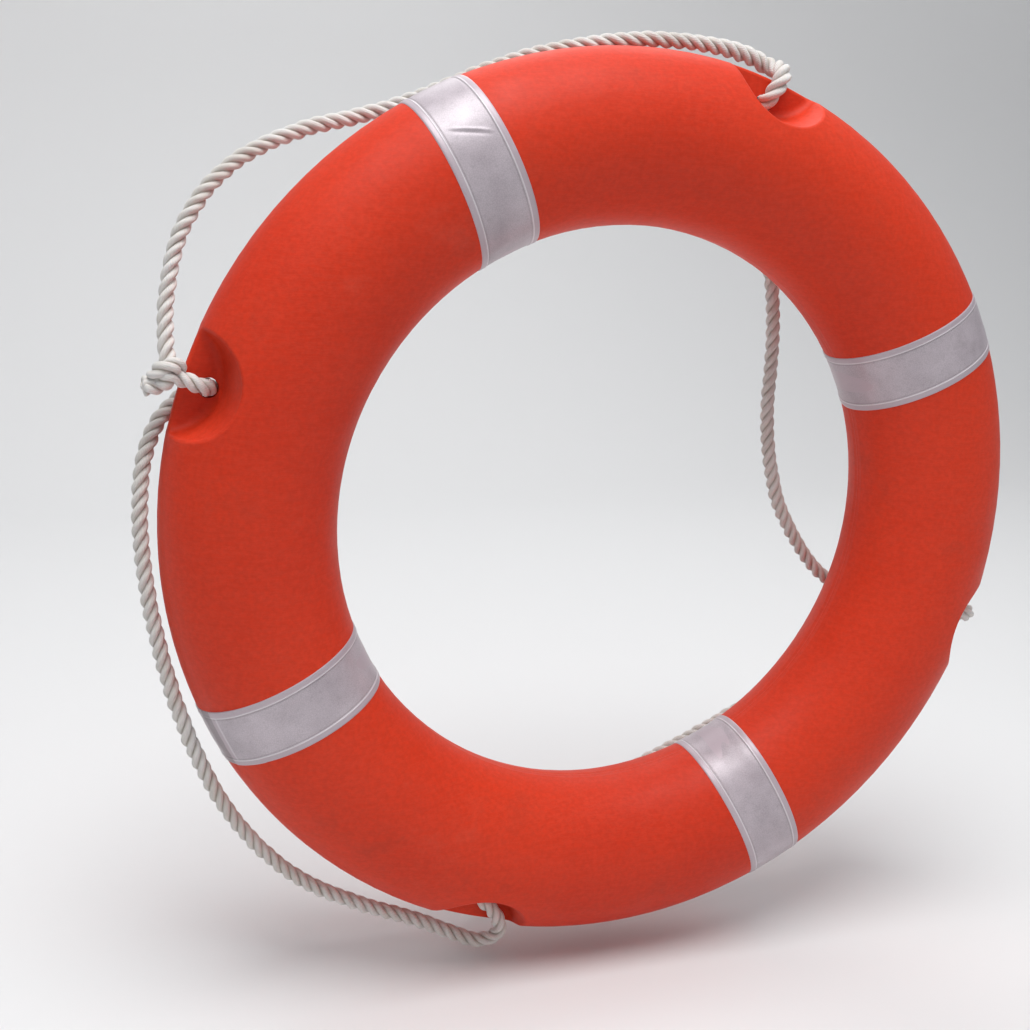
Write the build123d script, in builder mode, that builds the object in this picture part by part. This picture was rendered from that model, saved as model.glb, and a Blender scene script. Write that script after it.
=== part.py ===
"""Ring lifebuoy: a moulded hollow shell filled with foam, four reflective bands and a grab line.

The ring stands upright, as it hangs in use. Its axis is Y and its front face looks to -Y, +Z is
up, and the origin is the centre of the central opening. Lengths are in millimetres.

A place on the ring is given as (angle, radius, depth): the angle in degrees about the ring's
axis, anticlockwise seen from the front and from +X, the radius from the axis, and the depth
behind the ring's middle plane, along +Y.
"""
import os
from math import cos, pi, radians, sin, sqrt, tan

from build123d import *

os.makedirs("parts", exist_ok=True)

# The ring's section is an ellipse, with a narrow land where the mould closes on the opening.
outer_radius = 360
half_width = 66
half_thickness = 58
land_length = 10
wall = 2.5

# Four web recesses, one front and one back, each a drafted round scoop at the outer edge.
recess_turn = 72
recess_count = 4
recess_radius = 42
recess_draft = 8
recess_centre = outer_radius + 13
recess_floor_fillet = 7
recess_edge_fillet = 2.5
web_thickness = 8
rope_hole_radius = 7.5
rope_hole_centre = 340

# Reflective bands, midway between the recesses, let into the shell so that the opening stays
# clear of them. Each is lapped over itself, up to the depth given with its angle.
band_width = 48
band_thickness = 0.4
band_below_surface = 0.35
band_gap = 0.1
lap_length = 30
bands = {
    "reflective_band_right": (27, 40),
    "reflective_band_upper_left": (117, 40),
    "reflective_band_lower_left": (206.2, 14),
    "reflective_band_lower_right": (297, 40),
}

# Plugs that close the foam's filling hole and its vent, both sunk in the back face: the angle
# of each and the radius of its cap.
plugs = {"foam_fill_plug": (90, 12), "vent_plug": (104, 7)}
plug_cap = 1
plug_stem = 9
plug_clearance = 0.1

# Grab line: from the knot through the left web, then round by the bottom, the right and the top
# webs, and back to the knot.
rope_diameter = 12
arc_share = 0.45
grab_line_route = [
    (161.7, 365, -13), (162, 339, -13), (162, 339, 14), (164.5, 354, 24), (169, 369, 20),
    (175, 373, 11), (183, 372, 5), (193, 371.5, 3), (205, 377, 3), (217, 387, 3),
    (228.5, 390, 3), (238.5, 381, 4), (246, 376, 4), (251.3, 379.5, 0), (254.7, 380.5, -5),
    (256.8, 368.5, -11), (255.6, 352, -13.5), (252.2, 339, -13), (252, 339, 15),
    (253.5, 338, 50), (258, 320, 68), (266, 294, 70), (280, 268, 66), (296, 259, 62),
    (309, 267, 64), (321, 293, 68), (332, 318, 69), (339, 336, 59), (342, 339, 16),
    (342, 339, -13), (343.4, 368, -13), (343.4, 368, 13.5), (345.2, 357, 35), (344.5, 334, 59),
    (341.5, 305, 71), (339.5, 276, 74), (342, 246, 75), (347.5, 217, 74), (355, 194, 73),
    (3.5, 184.5, 72), (14, 182, 72), (25, 192, 72), (35, 214, 72), (46.5, 247, 72),
    (58, 283, 72), (66, 317, 70), (70.8, 338.5, 52), (72, 339, 15), (71.9, 339, -13),
    (71.3, 368, -13), (71.3, 370, 13.5), (75.5, 374, 13), (81.5, 371, 13), (88.5, 367.5, 14),
    (97.5, 362, 28), (106, 356.5, 41), (115, 351.5, 51), (122.5, 358, 55), (131, 382, 50),
    (139.5, 401.5, 40), (147.5, 402, 30), (154.3, 388.5, 19), (158.4, 378.5, 7),
    (160.8, 372, -4),
]
knot_centre = (161.6, 371, -9)
knot_length = 30
knot_radius = 12.5
cut_end_fillet = 1
tails = {"rope_tail_front": (165.2, 384, -12), "rope_tail_back": (162.6, 388, 1)}

centre_radius = outer_radius - half_width
opening_radius = centre_radius - half_width * sqrt(1 - (land_length / 2 / half_thickness) ** 2)


def at(angle, radius, depth):
    """A point from its angle, radius and depth."""
    return Vector(radius * cos(radians(angle)), depth, radius * sin(radians(angle)))


def outward(angle):
    """The radial direction at an angle."""
    return at(angle, 1, 0)


def along(angle):
    """The direction round the ring at an angle, anticlockwise seen from the front."""
    return at(angle + 90, 1, 0)


def write(part, name):
    """Label a finished piece and write its file."""
    part.label = name
    export_step(part, f"parts/{name}.step")


# --- ring ---------------------------------------------------------------------------------------

def ring_solid(inset):
    """The ring turned from its section, with every surface moved in by inset."""
    with BuildPart() as ring:
        with BuildSketch(Plane.XY):
            with Locations((centre_radius, 0)):
                Ellipse(half_width - inset, half_thickness - inset)
            Rectangle(2 * (opening_radius + inset), 3 * half_thickness, mode=Mode.SUBTRACT)
        revolve(axis=Axis.Y)
    return ring.part


def scoops(floor, grow):
    """All recesses' scoops, front and back, from floor outwards, widened by grow."""
    with BuildPart() as cutters:
        with BuildSketch(Plane.XZ.offset(floor)):
            with PolarLocations(recess_centre, recess_count, start_angle=recess_turn):
                Circle(recess_radius + grow)
        extrude(amount=half_thickness, taper=-recess_draft)
        mirror(about=Plane.XZ)
    return cutters.part


def rope_holes():
    """The round holes through the webs."""
    with BuildPart() as holes:
        with BuildSketch(Plane.XZ):
            with PolarLocations(rope_hole_centre, recess_count, start_angle=recess_turn):
                Circle(rope_hole_radius)
        extrude(amount=web_thickness, both=True)
    return holes.part


def band_slab(angle, width, near, far):
    """A slab across the ring's section at an angle, with parallel sides, between two depths."""
    across = Plane(origin=(0, 0, 0), x_dir=outward(angle), z_dir=along(angle))
    with BuildPart() as slab:
        with BuildSketch(across):
            with Locations((centre_radius, (near + far) / 2)):
                Rectangle(3 * half_width, far - near)
        extrude(amount=width / 2, both=True)
    return slab.part


def band_seats():
    """The shallow seats that the bands lie in."""
    floor = ring_solid(band_below_surface + band_thickness + band_gap)
    depth = half_thickness + wall
    slabs = [band_slab(angle, band_width + 2 * band_gap, -depth, depth) for angle, _ in bands.values()]
    with BuildPart() as seats:
        add(slabs)
        add(floor, mode=Mode.SUBTRACT)
    return seats.part


def plug_seats():
    """Each plug's cap seat and stem hole, as one cutter from behind the back face."""
    behind = Plane.XZ.offset(-half_thickness - wall)
    with BuildPart() as seats:
        for angle, radius in plugs.values():
            for hole_radius, depth in ((radius, plug_cap), (radius / 2, plug_cap + plug_stem)):
                with BuildSketch(behind):
                    with PolarLocations(centre_radius, 1, start_angle=angle):
                        Circle(hole_radius)
                extrude(amount=depth + wall)
    return seats.part


inner_ring = ring_solid(wall)
inner_scoops = scoops(0, wall)
plug_cutter = plug_seats()

with BuildPart() as foam_core:
    add(inner_ring)
    add(inner_scoops, mode=Mode.SUBTRACT)
    add(plug_cutter, mode=Mode.SUBTRACT)
write(foam_core.part, "foam_core")

full_ring = ring_solid(0)
outer_scoops = scoops(web_thickness / 2, 0)
shell_cutters = [rope_holes(), band_seats(), plug_cutter, foam_core.part]

with BuildPart() as outer_shell:
    add(full_ring)
    add(outer_scoops, mode=Mode.SUBTRACT)
    circle_edges = outer_shell.edges().filter_by(GeomType.CIRCLE)
    fillet(circle_edges.filter_by(lambda edge: edge.radius < outer_radius / 2), recess_floor_fillet)
    fillet(outer_shell.edges().filter_by(GeomType.BSPLINE), recess_edge_fillet)
    for cutter in shell_cutters:
        add(cutter, mode=Mode.SUBTRACT)
write(outer_shell.part, "outer_shell")
print("shell", outer_shell.part.volume / 1e6, "litres; foam", foam_core.part.volume / 1e6, "litres")


# --- plugs --------------------------------------------------------------------------------------

def plug(angle, radius):
    """A push-in plug: a low domed cap on a plain stem, from the back face inwards."""
    cap_face = Plane.XZ.offset(-half_thickness)
    with BuildPart() as piece:
        with BuildSketch(cap_face):
            with PolarLocations(centre_radius, 1, start_angle=angle):
                Circle(radius - plug_clearance)
        extrude(amount=plug_cap)
        fillet(piece.edges().group_by(Axis.Y)[-1], plug_cap / 2)
        with BuildSketch(cap_face.offset(plug_cap)):
            with PolarLocations(centre_radius, 1, start_angle=angle):
                Circle(radius / 2 - plug_clearance)
        extrude(amount=plug_stem - 1)
        fillet(piece.edges().group_by(Axis.Y)[0], plug_cap / 2)
    return piece.part


for plug_name, (plug_angle, plug_radius) in plugs.items():
    write(plug(plug_angle, plug_radius), plug_name)


# --- reflective bands ---------------------------------------------------------------------------

def band(angle, lap_end):
    """A band once round the section, with its end lapped over its start on the outside."""
    layers = [ring_solid(band_below_surface + layer * band_thickness) for layer in (-1, 0, 1)]
    whole = band_slab(angle, band_width, -outer_radius, outer_radius)
    lap = band_slab(angle, band_width, lap_end - lap_length, lap_end)
    with BuildPart() as opening:
        Cylinder(centre_radius, outer_radius, rotation=(90, 0, 0))
    with BuildPart() as upper_layer:
        add(layers[0])
        add(layers[1], mode=Mode.SUBTRACT)
        add(lap, mode=Mode.INTERSECT)
        add(opening.part, mode=Mode.SUBTRACT)
    with BuildPart() as wrapped:
        add(layers[1])
        add(layers[2], mode=Mode.SUBTRACT)
        add(whole, mode=Mode.INTERSECT)
        add(upper_layer.part)
    return wrapped.part


for band_name, (band_angle, band_lap_end) in bands.items():
    write(band(band_angle, band_lap_end), band_name)


# --- grab line ----------------------------------------------------------------------------------

def bend_radii(points):
    """Each corner's arc, as large as the shorter of its two runs allows."""
    radii = []
    for before, corner, after in zip(points, points[1:], points[2:]):
        half_turn = radians((corner - before).get_angle(after - corner) / 2)
        shorter_run = min((corner - before).length, (after - corner).length)
        radii.append(arc_share * shorter_run / tan(half_turn))
    return radii


rope_points = [at(*place) for place in grab_line_route]
rope_radii = bend_radii(rope_points)

with BuildPart() as grab_line:
    with BuildLine() as rope_path:
        FilletPolyline(*rope_points, radius=rope_radii)
    with BuildSketch(Plane(origin=rope_path.line @ 0, z_dir=rope_path.line % 0)):
        Circle(rope_diameter / 2)
    sweep()
write(grab_line.part, "grab_line")

rope_length = sum(edge.length for edge in rope_path.edges())
section_volume = pi * (rope_diameter / 2) ** 2 * rope_length
print("grab line", rope_length, "mm; volume", grab_line.part.volume / section_volume, "of its section's")
print("bend radii", [round(radius) for radius in rope_radii])


# --- knot and tails -----------------------------------------------------------------------------

knot_middle = at(*knot_centre)
knot_plane = Plane(origin=knot_middle, x_dir=along(knot_centre[0]), z_dir=(0, 1, 0))

with BuildPart() as joining_knot:
    with BuildSketch(knot_plane):
        Ellipse(knot_length / 2, knot_radius)
        with Locations((0, -knot_radius)):
            Rectangle(2 * knot_length, 2 * knot_radius, mode=Mode.SUBTRACT)
    revolve(axis=Axis(knot_middle, along(knot_centre[0])))
write(joining_knot.part, "joining_knot")


def tail(end):
    """A short free end of the rope, from the knot to its cut end."""
    reach = end - knot_middle
    with BuildPart() as piece:
        with BuildSketch(Plane(origin=knot_middle, z_dir=reach)):
            Circle(rope_diameter / 2)
        extrude(amount=reach.length)
        fillet(piece.edges().sort_by(Axis(knot_middle, reach))[-1], cut_end_fillet)
        add(joining_knot.part, mode=Mode.SUBTRACT)
    return piece.part


for tail_name, tail_end in tails.items():
    write(tail(at(*tail_end)), tail_name)
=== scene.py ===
"""The looks of a ring lifebuoy: moulded orange ring, reflective tape and a laid rope grab line.

Lengths are in metres. A place on the ring is (angle, radius, depth): the angle in degrees about
the ring's axis, anticlockwise seen from the front and from +X, the radius from the axis, and
the depth behind the ring's middle plane, along +Y.
"""
from math import atan2, cos, pi, radians, sin, sqrt, tau

import bpy
import numpy as np
from mathutils import Matrix, Vector


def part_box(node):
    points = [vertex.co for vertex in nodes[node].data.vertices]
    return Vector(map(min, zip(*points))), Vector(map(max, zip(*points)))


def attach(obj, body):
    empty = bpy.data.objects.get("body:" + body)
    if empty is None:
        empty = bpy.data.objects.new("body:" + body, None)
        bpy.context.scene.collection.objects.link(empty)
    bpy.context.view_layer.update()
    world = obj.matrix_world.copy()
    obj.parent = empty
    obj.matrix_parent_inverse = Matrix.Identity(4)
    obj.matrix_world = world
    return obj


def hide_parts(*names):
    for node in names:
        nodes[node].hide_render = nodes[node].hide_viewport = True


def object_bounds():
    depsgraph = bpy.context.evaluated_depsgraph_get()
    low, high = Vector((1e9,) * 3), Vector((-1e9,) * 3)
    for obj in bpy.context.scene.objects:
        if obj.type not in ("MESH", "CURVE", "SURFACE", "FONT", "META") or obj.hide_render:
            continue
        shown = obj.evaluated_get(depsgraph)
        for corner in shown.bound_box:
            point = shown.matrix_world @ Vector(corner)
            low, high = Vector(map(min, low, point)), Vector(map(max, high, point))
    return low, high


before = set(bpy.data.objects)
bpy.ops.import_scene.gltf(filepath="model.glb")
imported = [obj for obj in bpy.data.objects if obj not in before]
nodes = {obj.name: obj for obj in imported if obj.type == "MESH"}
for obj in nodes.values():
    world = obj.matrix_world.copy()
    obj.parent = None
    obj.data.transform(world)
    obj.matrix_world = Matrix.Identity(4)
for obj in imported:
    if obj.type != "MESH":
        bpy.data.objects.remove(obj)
cad_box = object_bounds()

# --- the ring's sizes, from the frame -----------------------------------------------------------

shell_low, shell_high = (Vector(corner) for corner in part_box("outer_shell"))
OUTER_RADIUS = shell_high.x
HALF_THICKNESS = shell_high.y
HALF_WIDTH = 0.066  # half the section's width in the ring's plane
CENTRE_RADIUS = OUTER_RADIUS - HALF_WIDTH


def at(angle, radius, depth):
    """A point from its angle, radius and depth."""
    return Vector((radius * cos(radians(angle)), depth, radius * sin(radians(angle))))


# --- camera -------------------------------------------------------------------------------------

CAMERA_PLACE = (-0.4741, -1.0659, 0.2765)
CAMERA_LENS = 51.7  # millimetres, for a sensor 36 mm wide
SENSOR_WIDTH = 36


def add_camera():
    """The view from the front, a little to the left and above, with the camera slightly rolled."""
    right = Vector((0.9417, -0.3337, 0.0436)).normalized()
    forward = Vector((0.3342, 0.9124, -0.2362)).normalized()
    up = right.cross(forward)
    right = forward.cross(up)
    data = bpy.data.cameras.new("camera")
    data.sensor_width = SENSOR_WIDTH
    data.lens = CAMERA_LENS
    camera = bpy.data.objects.new("camera", data)
    turn = Matrix((right, up, -forward)).transposed().to_4x4()
    camera.matrix_world = Matrix.Translation(CAMERA_PLACE) @ turn
    bpy.context.collection.objects.link(camera)
    bpy.context.scene.camera = camera


# --- materials ----------------------------------------------------------------------------------

class Nodes:
    """A material's node tree, with short calls for the nodes used here."""

    def __init__(self, name):
        self.material = bpy.data.materials.new(name)
        self.material.use_nodes = True
        self.tree = self.material.node_tree
        self.shader = self.tree.nodes["Principled BSDF"]

    def add(self, kind, inputs=None, **settings):
        node = self.tree.nodes.new(kind)
        for key, value in settings.items():
            setattr(node, key, value)
        for key, value in (inputs or {}).items():
            if isinstance(value, bpy.types.NodeSocket):
                self.tree.links.new(value, node.inputs[key])
            else:
                node.inputs[key].default_value = value
        return node

    def place(self, scale=(1, 1, 1), source="Object"):
        """Texture coordinates, stretched by scale."""
        coordinates = self.add("ShaderNodeTexCoord").outputs[source]
        return self.add("ShaderNodeMapping", {"Vector": coordinates, "Scale": scale}).outputs[0]

    def noise(self, scale, detail=4, roughness=0.5, place=None):
        vector = place or self.place()
        settings = {"Vector": vector, "Scale": scale, "Detail": detail, "Roughness": roughness}
        return self.add("ShaderNodeTexNoise", settings).outputs["Fac"]

    def ramp(self, factor, *stops):
        """A colour ramp through (position, colour) stops; a number stands for a grey."""
        node = self.add("ShaderNodeValToRGB", {"Fac": factor})
        while len(node.color_ramp.elements) < len(stops):
            node.color_ramp.elements.new(0.5)
        for element, (position, colour) in zip(node.color_ramp.elements, stops):
            element.position = position
            grey = isinstance(colour, (int, float))
            element.color = (colour, colour, colour, 1) if grey else (*colour, 1)
        return node.outputs["Color"]

    def mix(self, factor, first, second, blend="MIX"):
        node = self.add("ShaderNodeMix", data_type="RGBA", blend_type=blend)
        sockets = (node.inputs[0], node.inputs[6], node.inputs[7])
        for socket, value in zip(sockets, (factor, first, second)):
            if isinstance(value, bpy.types.NodeSocket):
                self.tree.links.new(value, socket)
            elif socket.type == "RGBA":
                socket.default_value = (*value, 1)
            else:
                socket.default_value = value
        return node.outputs[2]

    def math(self, operation, first, second=0.0, third=0.0):
        inputs = {0: first, 1: second, 2: third}
        return self.add("ShaderNodeMath", inputs, operation=operation).outputs[0]

    def attribute(self, name):
        """One of the mesh's own values at each point."""
        return self.add("ShaderNodeAttribute", attribute_name=name).outputs["Fac"]

    def bump(self, height, strength, distance, normal=None):
        settings = {"Height": height, "Strength": strength, "Distance": distance}
        if normal:
            settings["Normal"] = normal
        return self.add("ShaderNodeBump", settings).outputs[0]

    def link(self, **sockets):
        """Link or set the shader's own inputs; an underscore in a name stands for a space."""
        for key, value in sockets.items():
            socket = self.shader.inputs[key.replace("_", " ")]
            if isinstance(value, bpy.types.NodeSocket):
                self.tree.links.new(value, socket)
            else:
                socket.default_value = value
        return self.material


def moulded_plastic(name, deep, bright):
    """Satin polyethylene: uneven fading, fine mould grain, scuffs, rubbed-in dirt, a mould line."""
    m = Nodes(name)
    fading = m.ramp(m.noise(3.5, 3), (0.3, deep), (0.7, bright))
    speckle = m.ramp(m.noise(260, 3, 0.6), (0.35, 0.92), (0.65, 1.04))
    colour = m.mix(1.0, fading, speckle, "MULTIPLY")
    dirt = m.ramp(m.noise(14, 8, 0.68), (0.58, 0.0), (0.78, 0.35))
    colour = m.mix(dirt, colour, (0.30, 0.040, 0.022))
    chalk = m.ramp(m.noise(9, 9, 0.72, m.place((1.0, 1.0, 1.6))), (0.60, 0.0), (0.80, 0.22))
    colour = m.mix(chalk, colour, (0.72, 0.16, 0.11))
    scratch_place = m.place((1.0, 1.0, 9.0))
    scratches = m.ramp(m.noise(42, 6, 0.75, scratch_place), (0.46, 0.0), (0.5, 1.0), (0.54, 0.0))
    colour = m.mix(m.math("MULTIPLY", scratches, 0.05), colour, (0.80, 0.24, 0.18))
    depth = m.add("ShaderNodeSeparateXYZ", {0: m.place()}).outputs["Y"]
    millimetres = m.math("MULTIPLY", m.math("ABSOLUTE", depth), 1000.0)
    mould_line = m.ramp(millimetres, (0.25, 1.0), (0.8, 0.0))
    roughness = m.ramp(m.noise(22, 6, 0.6), (0.3, 0.44), (0.7, 0.58))
    normal = m.bump(m.noise(38, 2), 0.10, 0.004)
    normal = m.bump(m.noise(900, 2, 0.6), 0.09, 0.0006, normal)
    normal = m.bump(scratches, 0.03, 0.0004, normal)
    normal = m.bump(mould_line, 0.35, 0.0004, normal)
    return m.link(Base_Color=colour, Roughness=roughness, Normal=normal, Specular_IOR_Level=0.19)


def reflective_tape(name):
    """Silver tape: fine cells under a clear face, sealed borders, stains, painted highlights on the
    welds and painted shade by the welds and laps.
    """
    m = Nodes(name)
    base = m.ramp(m.noise(26, 5, 0.6), (0.3, (0.40, 0.345, 0.378)), (0.7, (0.57, 0.505, 0.545)))
    pattern = {"Vector": m.place(), "Scale": 620}
    cells = m.add("ShaderNodeTexVoronoi", pattern, feature="DISTANCE_TO_EDGE")
    mesh = m.ramp(cells.outputs["Distance"], (0.02, 0.84), (0.12, 1.0))
    colour = m.mix(1.0, base, mesh, "MULTIPLY")
    stains = m.ramp(m.noise(60, 7, 0.7), (0.56, 0.0), (0.74, 0.4))
    colour = m.mix(stains, colour, (0.30, 0.26, 0.27))
    colour = m.mix(m.math("MULTIPLY", m.attribute("border"), 0.75), colour, (0.47, 0.39, 0.43))
    # The welds are painted lighter, a painted highlight where the raised weld catches light.
    colour = m.mix(m.math("MULTIPLY", m.attribute("weld_and_highlight"), 0.8), colour, (0.80, 0.76, 0.79))
    # Painted shadow just beyond each lapped end, and painted shade in the groove beside each weld.
    colour = m.mix(m.math("MULTIPLY", m.attribute("painted_shade"), 0.6), colour, (0.22, 0.18, 0.19))
    roughness = m.ramp(m.noise(45, 4), (0.3, 0.38), (0.7, 0.52))
    normal = m.bump(m.noise(120, 3), 0.08, 0.0006)
    return m.link(Base_Color=colour, Roughness=roughness, Normal=normal, Metallic=0.15,
                  Specular_IOR_Level=0.5, Coat_Weight=0.25, Coat_Roughness=0.28)


def laid_rope(name):
    """Cream polyolefin yarn: fine yarns along the rope with painted shade between them, painted
    shade in the grooves, and grime in patches.
    """
    m = Nodes(name)
    place = m.place(source="UV")
    split = m.add("ShaderNodeSeparateXYZ", {0: place})
    wander = m.noise(1.0, 4, 0.6, m.place((160, 5, 1), "UV"))
    wander = m.math("MULTIPLY", wander, 5.0)
    yarn_phase = m.math("MULTIPLY_ADD", split.outputs["Y"], YARNS_ROUND * tau, wander)
    yarns = m.math("MULTIPLY_ADD", m.math("SINE", yarn_phase), 0.5, 0.5)
    fibre = m.noise(1.0, 5, 0.7, m.place((350, 90, 1), "UV"))
    patches = m.noise(16, 4, 0.6)
    clean = m.ramp(patches, (0.3, (0.70, 0.66, 0.61)), (0.72, (0.87, 0.845, 0.82)))
    shade = m.ramp(yarns, (0.0, 0.80), (0.5, 1.0))
    colour = m.mix(1.0, clean, shade, "MULTIPLY")
    streaks = m.ramp(fibre, (0.30, 0.86), (0.62, 1.03))
    colour = m.mix(1.0, colour, streaks, "MULTIPLY")
    # Painted shade in the grooves between strands: darker and browner there, patchy along the rope.
    groove_shade_patches = m.ramp(m.noise(70, 5, 0.65), (0.35, 0.35), (0.7, 1.0))
    colour = m.mix(m.math("MULTIPLY", m.attribute("groove"), groove_shade_patches), colour, (0.33, 0.27, 0.21))
    height = m.math("MULTIPLY_ADD", fibre, 0.5, yarns)
    normal = m.bump(height, 0.55, 0.0005)
    return m.link(Base_Color=colour, Roughness=0.82, Normal=normal, Specular_IOR_Level=0.25,
                  Sheen_Weight=0.35, Sheen_Roughness=0.5, Subsurface_Weight=0.08,
                  Subsurface_Radius=(0.004, 0.003, 0.002), Subsurface_Scale=0.5)


def hard_foam(name):
    """Closed-cell foam, which only a cut ring would show."""
    m = Nodes(name)
    cells = m.noise(700, 3, 0.7)
    colour = m.ramp(cells, (0.3, (0.70, 0.62, 0.42)), (0.7, (0.88, 0.82, 0.64)))
    return m.link(Base_Color=colour, Roughness=0.9, Normal=m.bump(cells, 0.5, 0.0008))


# --- rope ---------------------------------------------------------------------------------------

ROPE_DIAMETER = 0.012
ROPE_LAY = 0.0315  # the length in which a strand goes once round
RING_STEP = 0.0015  # between the mesh's rings
YARNS_ROUND = 33
STRANDS = 3
ROPE_GIRTH = 0.0126  # across the crowns of the strands
STRAND_RADIUS = 0.262 * ROPE_GIRTH
STRAND_OFFSET = ROPE_GIRTH / 2 - STRAND_RADIUS
POINTS_PER_STRAND = 9
MELTED_BULGE = 0.16  # how far a melted end stands out, in diameters

# The strands have opened a little where the rope turns over the top web.
OPENED_AT = (72.5, 0.376, 0.000)
OPENED_REACH = 0.044
OPENED_BY = 0.20

# The route's points from the knot round the ring and back, as the CAD tube has them, apart from
# the last one in the top web's hole, which is about 2 mm nearer to the hole's upper left edge.
GRAB_LINE_ROUTE = [
    (161.7, 0.365, -0.013), (162, 0.339, -0.013), (162, 0.339, 0.014), (164.5, 0.354, 0.024),
    (169, 0.369, 0.020), (175, 0.373, 0.011), (183, 0.372, 0.005), (193, 0.3715, 0.003),
    (205, 0.377, 0.003), (217, 0.387, 0.003), (228.5, 0.390, 0.003), (238.5, 0.381, 0.004),
    (246, 0.376, 0.004), (251.3, 0.3795, 0.000), (254.7, 0.3805, -0.005), (256.8, 0.3685, -0.011),
    (255.6, 0.352, -0.0135), (252.2, 0.339, -0.013), (252, 0.339, 0.015), (253.5, 0.338, 0.050),
    (258, 0.320, 0.068), (266, 0.294, 0.070), (280, 0.268, 0.066), (296, 0.259, 0.062),
    (309, 0.267, 0.064), (321, 0.293, 0.068), (332, 0.318, 0.069), (339, 0.336, 0.059),
    (342, 0.339, 0.016), (342, 0.339, -0.013), (343.4, 0.368, -0.013), (343.4, 0.368, 0.0135),
    (345.2, 0.357, 0.035), (344.5, 0.334, 0.059), (341.5, 0.305, 0.071), (339.5, 0.276, 0.074),
    (342, 0.246, 0.075), (347.5, 0.217, 0.074), (355, 0.194, 0.073), (3.5, 0.1845, 0.072),
    (14, 0.182, 0.072), (25, 0.192, 0.072), (35, 0.214, 0.072), (46.5, 0.247, 0.072),
    (58, 0.283, 0.072), (66, 0.317, 0.070), (70.8, 0.3385, 0.052), (72, 0.339, 0.015),
    (72.3, 0.3388, -0.0135), (71.3, 0.368, -0.0145), (71.3, 0.371, 0.0135), (75.5, 0.374, 0.013),
    (81.5, 0.371, 0.013), (88.5, 0.3675, 0.014), (97.5, 0.362, 0.028), (106, 0.3565, 0.041),
    (115, 0.3515, 0.051), (122.5, 0.358, 0.055), (131, 0.382, 0.050), (139.5, 0.4015, 0.040),
    (147.5, 0.402, 0.030), (154.3, 0.3885, 0.019), (158.4, 0.3785, 0.007), (160.8, 0.372, -0.004),
]

# The rest of the rope lies in the knot, as offsets from its middle: (right, back, up).
KNOT_MIDDLE = (161.6, 0.371, -0.009)
KNOT_BEFORE = [
    (-0.0145, 0.010, -0.0095), (-0.0105, 0.006, -0.0075), (-0.0090, -0.001, -0.003),
    (-0.0075, -0.0075, 0.003), (0.0005, -0.0095, 0.0062), (0.0068, -0.005, 0.005),
    (0.0072, 0.005, 0.0025), (0.0015, 0.0140, 0.000), (-0.0050, 0.0095, -0.004),
    (-0.0055, 0.000, -0.005), (-0.0030, -0.0095, -0.0035),
]
KNOT_AFTER = [
    (0.0005, 0.004, -0.002), (-0.0020, 0.002, -0.0085), (-0.0080, -0.002, -0.0100),
    (-0.0158, -0.004, -0.0105),
]
TAIL_FRONT_LENGTH = 0.012
TAIL_BACK_LENGTH = 0.010


def smooth_line(points):
    """Points along the smooth curve that a route's control points give."""
    data = bpy.data.curves.new("route", "CURVE")
    data.dimensions = "3D"
    spline = data.splines.new("NURBS")
    spline.points.add(len(points) - 1)
    for control, point in zip(spline.points, points):
        control.co = (*point, 1)
    spline.order_u = 3
    spline.use_endpoint_u = True
    spline.resolution_u = 24
    holder = bpy.data.objects.new("route", data)
    mesh = bpy.data.meshes.new_from_object(holder)
    line = np.array([tuple(vertex.co) for vertex in mesh.vertices])
    bpy.data.meshes.remove(mesh)
    bpy.data.objects.remove(holder)
    bpy.data.curves.remove(data)
    return line


def even_steps(line, step):
    """The same line with its points a step apart."""
    lengths = np.linalg.norm(np.diff(line, axis=0), axis=1)
    reached = np.concatenate([[0], np.cumsum(lengths)])
    count = int(reached[-1] / step)
    wanted = np.linspace(0, reached[-1], count + 1)
    return np.stack([np.interp(wanted, reached, line[:, axis]) for axis in range(3)], axis=1)


def carried_frames(line):
    """For each point, two directions square to the line that turn no more than they must."""
    ahead = np.gradient(line, axis=0)
    ahead /= np.linalg.norm(ahead, axis=1)[:, None]
    side = Vector(ahead[0]).orthogonal().normalized()
    sides = []
    for tangent in ahead:
        tangent = Vector(tangent)
        side = (side - tangent * side.dot(tangent)).normalized()
        sides.append((np.array(side), np.array(tangent.cross(side))))
    return sides


def strand_outline():
    """Once round the rope's section: its points and how deep in a groove each lies."""
    meeting = sqrt(STRAND_RADIUS ** 2 - (STRAND_OFFSET * sin(pi / STRANDS)) ** 2)
    groove_radius = STRAND_OFFSET * cos(pi / STRANDS) + meeting
    groove_at = np.array([groove_radius * cos(pi / STRANDS), groove_radius * sin(pi / STRANDS)])
    half = atan2(groove_at[1], groove_at[0] - STRAND_OFFSET)
    points, depths = [], []
    for strand in range(STRANDS):
        facing = strand * tau / STRANDS
        for share in np.linspace(-1, 1, POINTS_PER_STRAND, endpoint=False):
            x = STRAND_OFFSET + STRAND_RADIUS * cos(share * half)
            y = STRAND_RADIUS * sin(share * half)
            points.append((x * cos(facing) - y * sin(facing), x * sin(facing) + y * cos(facing)))
            depths.append(max(0.0, (abs(share) - 0.62) / 0.38) ** 1.5)
    return np.array(points), np.array(depths)


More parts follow.
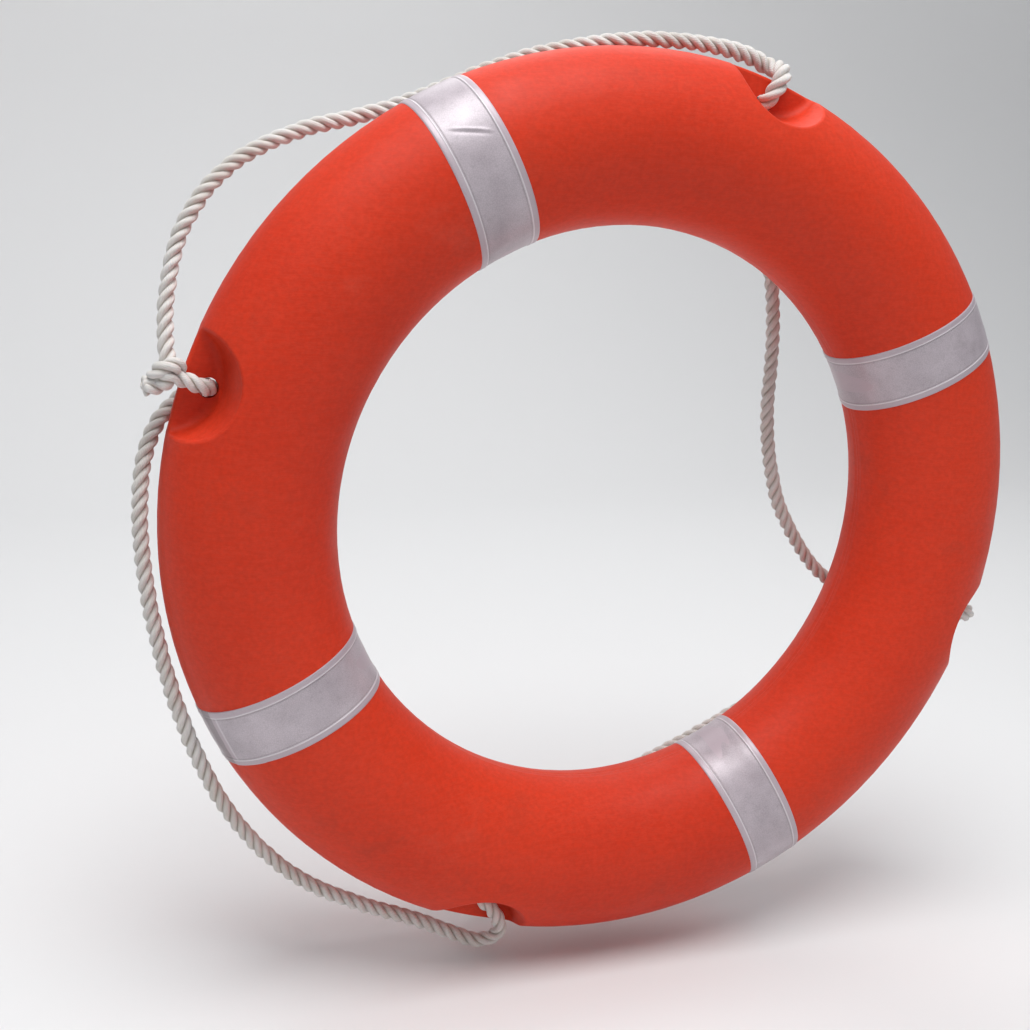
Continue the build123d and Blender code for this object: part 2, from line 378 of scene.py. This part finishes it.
def rope_rings(line, rng):
    """The rope's rings of points along the line, its texture coordinates and groove depths."""
    outline, depths = strand_outline()
    count = len(outline)
    sides = carried_frames(line)
    angles = np.unwrap(np.arctan2(outline[:, 1], outline[:, 0]))
    swell = smooth_noise(len(line), 60, rng) * 0.035
    opened = np.linalg.norm(line - np.array(at(*OPENED_AT)), axis=1)
    swell += OPENED_BY * np.exp(-(opened / OPENED_REACH) ** 4)
    strand_swell = [smooth_noise(len(line), 24, rng) * 0.05 for _ in range(STRANDS)]
    rings, coordinates = [], []
    for index, (point, (across, over)) in enumerate(zip(line, sides)):
        twist = tau * index * RING_STEP / ROPE_LAY
        turned = angles + twist
        size = np.hypot(outline[:, 0], outline[:, 1]) * (1 + swell[index])
        size *= 1 + np.repeat([wave[index] for wave in strand_swell], count // STRANDS)
        size = np.minimum(size, ROPE_GIRTH * (0.515 + max(0.0, swell[index] - 0.03) / 2))
        sideways = np.outer(size * np.cos(turned), across) + np.outer(size * np.sin(turned), over)
        rings.append(point + sideways)
        coordinates.append(np.stack([np.full(count, index * RING_STEP), turned / tau], axis=1))
    return np.array(rings), np.array(coordinates), depths


def smooth_noise(count, spacing, rng):
    """Smooth random values from -1 to 1 along a line, one knot every few points."""
    knots = rng.uniform(-1, 1, count // spacing + 4)
    at_points = np.arange(count) / spacing
    low = at_points.astype(int)
    share = at_points - low
    share = share * share * (3 - 2 * share)
    return knots[low] * (1 - share) + knots[low + 1] * share


def ring_mesh(name, rings, coordinates, depths, material, rounded=""):
    """A closed tube through rings of points; rounded names the ends that are melted round."""
    count = rings.shape[1]
    rings, coordinates = list(rings), list(coordinates)
    for end in rounded.split():
        order = (rings, coordinates) if end == "last" else (rings[::-1], coordinates[::-1])
        middle, before = order[0][-1].mean(axis=0), order[0][-2].mean(axis=0)
        outward = (middle - before) / np.linalg.norm(middle - before)
        last_ring, last_place = order[0][-1], order[1][-1]
        bulge = outward * ROPE_DIAMETER * MELTED_BULGE
        extra = [middle + (last_ring - middle) * cos(turn) + bulge * sin(turn)
                 for turn in (0.35, 0.75, 1.1, 1.35)]
        if end == "last":
            rings += extra
            coordinates += [last_place] * len(extra)
        else:
            rings = extra[::-1] + rings
            coordinates = [last_place] * len(extra) + coordinates
    vertices = np.concatenate(rings)
    faces, loops = [], []
    for index in range(len(rings) - 1):
        for corner in range(count):
            following = (corner + 1) % count
            wrap = 1.0 if following == 0 else 0.0
            here, there = coordinates[index], coordinates[index + 1]
            faces.append((index * count + corner, index * count + following,
                          (index + 1) * count + following, (index + 1) * count + corner))
            loops += [tuple(here[corner]), (here[following][0], here[following][1] + wrap),
                      (there[following][0], there[following][1] + wrap), tuple(there[corner])]
    for index, direction in ((0, -1), (len(rings) - 1, 1)):
        middle = len(vertices)
        vertices = np.vstack([vertices, rings[index].mean(axis=0)])
        for corner in range(count):
            edge = (index * count + corner, index * count + (corner + 1) % count)
            faces.append((*edge[::direction], middle))
            loops += [tuple(coordinates[index][corner])] * 3
    mesh = bpy.data.meshes.new(name)
    mesh.from_pydata(vertices.tolist(), [], faces)
    layer = mesh.uv_layers.new(name="UVMap")
    layer.data.foreach_set("uv", np.array(loops, dtype=np.float32).ravel())
    groove = mesh.attributes.new("groove", "FLOAT", "POINT")
    values = np.concatenate([np.tile(depths, len(rings)), [0, 0]])
    groove.data.foreach_set("value", values.astype(np.float32))
    mesh.polygons.foreach_set("use_smooth", [True] * len(mesh.polygons))
    mesh.set_sharp_from_angle(angle=radians(62))
    mesh.materials.append(material)
    piece = bpy.data.objects.new(name, mesh)
    bpy.context.collection.objects.link(piece)
    return piece


def nearest(line, point):
    """The index of the line's nearest point."""
    return int(np.argmin(np.linalg.norm(line - np.array(point), axis=1)))


def add_rope():
    """The whole rope as one line, cut into the grab line, the knot and the two tails."""
    rope = laid_rope("rope_yarn")
    route = [at(*place) for place in GRAB_LINE_ROUTE]
    middle = at(*KNOT_MIDDLE)
    before = [middle + Vector(offset) for offset in KNOT_BEFORE]
    after = [middle + Vector(offset) for offset in KNOT_AFTER]
    line = even_steps(smooth_line(before + route + after), RING_STEP)
    rings, coordinates, depths = rope_rings(line, np.random.default_rng(7))
    first = nearest(line[:200], route[0])
    last = len(line) - 200 + nearest(line[-200:], route[-1])
    back = int(TAIL_BACK_LENGTH / RING_STEP)
    front = len(line) - 1 - int(TAIL_FRONT_LENGTH / RING_STEP)
    cuts = {
        "rope_back_end": (0, back, "first"),
        "knot_under": (back, first, ""),
        "grab_rope": (first, last, ""),
        "knot_over": (last, front, ""),
        "rope_front_end": (front, len(line) - 1, "last"),
    }
    made = {}
    for name, (start, end, rounded) in cuts.items():
        span = slice(start, end + 1)
        made[name] = ring_mesh(name, rings[span], coordinates[span], depths, rope, rounded)
        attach(made[name], "root")
    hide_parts("grab_line")
    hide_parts("joining_knot")
    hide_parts("rope_tail_front")
    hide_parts("rope_tail_back")
    path = line[first:last + 1]
    length = float(np.linalg.norm(np.diff(path, axis=0), axis=1).sum())
    print("grab line measures", round(length, 3), "m")


# --- reflective bands ---------------------------------------------------------------------------

BAND_WIDTH = 0.0488
BAND_LIFT = 0.0005  # how far the tape stands over the ring
BAND_ROOT = -0.0006  # how far its edges reach into the seat
BORDER_IN = 0.0050  # from a long edge to its weld
LAP_BORDER = 0.10  # from the lapped end to its weld, in radians round the section
SECTION_STEPS = 420
WIDTH_STEPS = 122

# Each band's angle, the depth of its lapped end (in front of the middle if negative, otherwise on
# the inside of the ring), and its creases: (turn round the section, place across, reach, slope).
BANDS = {
    "reflective_band_right": (27, 0.040, ()),
    "reflective_band_upper_left": (117, 0.040, ((-1.03, -0.001, 0.0115, 0.50),)),
    "reflective_band_lower_left": (206.2, -0.025, ()),
    "reflective_band_lower_right": (297, 0.040, ()),
}


def add_bands():
    """The four bands of tape, each a closed strip once round the ring's section."""
    tape = reflective_tape("silver_tape")
    for seed, (node, (angle, lap_end, creases)) in enumerate(BANDS.items()):
        name = node.replace("reflective_band", "tape")
        piece = band_mesh(name, angle, lap_end, creases, np.random.default_rng(20 + seed), tape)
        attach(piece, "root")
        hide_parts(node)


def wrapped(turns):
    """Angles brought to the range from -pi to pi."""
    return (turns + pi) % tau - pi


def band_relief(turn, w, lap_at, creases, rng):
    """The tape's height over the ring at each place, and at each place how much it is border, weld
    with its painted highlight, and painted shade.

    turn goes round the section, and w goes across the tape from its middle.
    """
    turn, w = np.broadcast_arrays(turn, w)
    from_edge = BAND_WIDTH / 2 - np.abs(w)
    height = BAND_LIFT * np.minimum(1.0, 0.35 + from_edge / 0.0012)
    # The weld line is raised and painted lighter as a painted highlight; the groove beside it is
    # sunk and painted darker as painted shade.
    weld_and_highlight = np.exp(-(((from_edge - BORDER_IN) / 0.00045) ** 2))
    groove = np.exp(-(((from_edge - BORDER_IN - 0.0013) / 0.0005) ** 2))
    border = np.clip((BORDER_IN - from_edge) / 0.0006, 0, 1)
    height += 0.00045 * weld_and_highlight - 0.00028 * groove
    height += 0.0002 * border * np.sin(pi * np.clip(from_edge / BORDER_IN, 0, 1))
    inside = np.clip((from_edge - BORDER_IN) / 0.004, 0, 1)
    for _ in range(7):
        waves, slant, phase, share = rng.uniform((3, 200, 0, 0.3), (9, 560, tau, 1.0))
        height += inside * share * 0.00004 * np.sin(np.round(waves) * turn + slant * w + phase)
    for _ in range(12):
        least, most = (0, -0.02, 0.12, 0.004, -1), (tau, 0.02, 0.35, 0.012, 1)
        spot, off, wide, tall, sign = rng.uniform(least, most)
        apart = wrapped(turn - spot)
        aside = w - off - 0.03 * apart * sign
        height += inside * 0.00024 * sign * np.exp(-(apart / wide) ** 2 - (aside / tall) ** 2)
    for spot, off, wide, slope in creases:
        fold = wrapped(turn - spot) * 0.06 - slope * (w - off)
        fade = np.exp(-(((w - off) / wide) ** 4))
        ridge = 0.0008 * np.exp(-((fold / 0.0011) ** 2))
        hollow = 0.0004 * np.exp(-(((fold + 0.0026) / 0.0014) ** 2))
        height += fade * (ridge - hollow)
    past = wrapped(lap_at - turn)
    lapped = np.clip(past / 0.012, 0, 1) * np.clip((0.5 - past) / 0.05, 0, 1)
    height += 0.00060 * lapped
    within = np.clip((from_edge - BORDER_IN) / 0.0004, 0, 1)
    # The weld at the lapped end, raised and painted lighter as a painted highlight.
    end_weld_and_highlight = np.exp(-(((past - LAP_BORDER) / 0.009) ** 2)) * within
    end_border = np.clip((LAP_BORDER - past) / 0.01, 0, 1) * (past > 0) * within
    height += 0.0003 * end_weld_and_highlight
    # Painted shadow on the tape just beyond the lapped end, as if cast by it.
    painted_shade = np.clip(-past / 0.006, 0, 1) * np.clip((0.22 + past) / 0.04, 0, 1)
    border = np.maximum(border * (1 - weld_and_highlight), end_border * (1 - end_weld_and_highlight))
    # With it goes a thin line of painted shade in the groove beside each weld.
    return height, border, np.maximum(weld_and_highlight, end_weld_and_highlight), np.maximum(painted_shade, 0.55 * groove)


def band_mesh(name, angle, lap_end, creases, rng, material):
    """One band: its outside follows the relief, and its sides and back reach into the seat."""
    turn = np.linspace(0, tau, SECTION_STEPS, endpoint=False)[:, None]
    across = np.linspace(-0.5, 0.5, WIDTH_STEPS) * BAND_WIDTH
    w = np.concatenate([across[:1], across, across[-1:]])[None, :]
    lap_at = np.arcsin(lap_end / HALF_THICKNESS)
    if lap_end > 0:
        lap_at = pi - lap_at
    height, border, weld_and_highlight, painted_shade = band_relief(turn, w, lap_at, creases, rng)
    height[:, 0] = height[:, -1] = BAND_ROOT
    radius = CENTRE_RADIUS + (HALF_WIDTH + height) * np.cos(turn)
    depth = (HALF_THICKNESS + height) * np.sin(turn)
    reach = np.sqrt(radius ** 2 - w ** 2)
    out, side = radians(angle), radians(angle + 90)
    x = reach * cos(out) + w * cos(side)
    z = reach * sin(out) + w * sin(side)
    places = np.stack([x, depth, z], axis=-1)
    columns = w.shape[1]
    index = np.arange(SECTION_STEPS * columns).reshape(SECTION_STEPS, columns)
    beside, following = np.roll(index, -1, axis=1), np.roll(index, -1, axis=0)
    faces = np.stack([index, following, np.roll(following, -1, axis=1), beside], axis=-1)
    mesh = bpy.data.meshes.new(name)
    mesh.from_pydata(places.reshape(-1, 3).tolist(), [], faces.reshape(-1, 4).tolist())
    # The border is the tape's own colour; the weld values carry a painted highlight, and the last
    # values carry painted shadow and shade.
    for label, values in (("border", border), ("weld_and_highlight", weld_and_highlight), ("painted_shade", painted_shade)):
        layer = mesh.attributes.new(label, "FLOAT", "POINT")
        layer.data.foreach_set("value", values.astype(np.float32).ravel())
    mesh.polygons.foreach_set("use_smooth", [True] * len(mesh.polygons))
    mesh.set_sharp_from_angle(angle=radians(50))
    mesh.materials.append(material)
    piece = bpy.data.objects.new(name, mesh)
    bpy.context.collection.objects.link(piece)
    return piece


# --- CAD nodes that stay ------------------------------------------------------------------------

def dress(node, material):
    """Give a CAD node its material."""
    nodes[node].data.materials.clear()
    nodes[node].data.materials.append(material)


# --- stage --------------------------------------------------------------------------------------

def add_stage():
    """A plain pale floor just under the ring, curving up into a backdrop."""
    floor_height = cad_box[0][2] - 0.012
    mesh = bpy.data.meshes.new("floor")
    near, far, curve, top, half_width = -3.0, 1.6, 0.9, 3.5, 4.5
    profile = [(near, 0.0), (far, 0.0)]
    profile += [(far + curve * sin(turn), curve - curve * cos(turn))
                for turn in np.linspace(0.1, pi / 2, 14)]
    profile += [(far + curve, top)]
    vertices = [(x, depth, floor_height + rise)
                for depth, rise in profile for x in (-half_width, half_width)]
    faces = [(2 * i, 2 * i + 1, 2 * i + 3, 2 * i + 2) for i in range(len(profile) - 1)]
    mesh.from_pydata(vertices, [], faces)
    mesh.polygons.foreach_set("use_smooth", [True] * len(mesh.polygons))
    paint = Nodes("pale_floor")
    mesh.materials.append(paint.link(Base_Color=(0.74, 0.74, 0.74, 1), Roughness=0.9))
    floor = bpy.data.objects.new("floor", mesh)
    bpy.context.collection.objects.link(floor)


def add_light(name, place, size, power):
    """A round area light that points at the middle of the ring."""
    data = bpy.data.lights.new(name, "AREA")
    data.shape = "DISK"
    data.size = size
    data.energy = power
    lamp = bpy.data.objects.new(name, data)
    lamp.location = place
    lamp.rotation_euler = (-Vector(place)).to_track_quat("-Z", "Y").to_euler()
    bpy.context.collection.objects.link(lamp)


def add_lights():
    """Soft light from above, a weak fill from the front and a pale sky, brighter overhead."""
    add_light("key", (-0.3, -0.72, 2.65), 2.2, 78)
    add_light("fill", (0.6, -2.8, 0.7), 2.4, 4.5)
    add_light("rim", (0.5, 1.6, 1.8), 1.6, 12)
    world = bpy.data.worlds.new("studio")
    world.use_nodes = True
    tree = world.node_tree
    direction = tree.nodes.new("ShaderNodeTexCoord").outputs["Generated"]
    split = tree.nodes.new("ShaderNodeSeparateXYZ")
    tree.links.new(direction, split.inputs[0])
    sky = tree.nodes.new("ShaderNodeMapRange")
    tree.links.new(split.outputs["Z"], sky.inputs["Value"])
    for key, value in {"From Min": -0.3, "From Max": 1.0, "To Min": 0.15, "To Max": 0.54}.items():
        sky.inputs[key].default_value = value
    background = tree.nodes["Background"]
    background.inputs["Color"].default_value = (0.94, 0.96, 1.0, 1)
    tree.links.new(sky.outputs["Result"], background.inputs["Strength"])
    bpy.context.scene.world = world
    bpy.context.scene.view_settings.view_transform = "Standard"


add_camera()
add_rope()
add_bands()
orange = moulded_plastic("orange_plastic", (0.57, 0.031, 0.0095), (0.68, 0.045, 0.0135))
dress("outer_shell", orange)
plug_orange = moulded_plastic("plug_plastic", (0.50, 0.026, 0.0085), (0.60, 0.038, 0.0115))
dress("foam_fill_plug", plug_orange)
dress("vent_plug", plug_orange)
dress("foam_core", hard_foam("foam"))
add_stage()
add_lights()
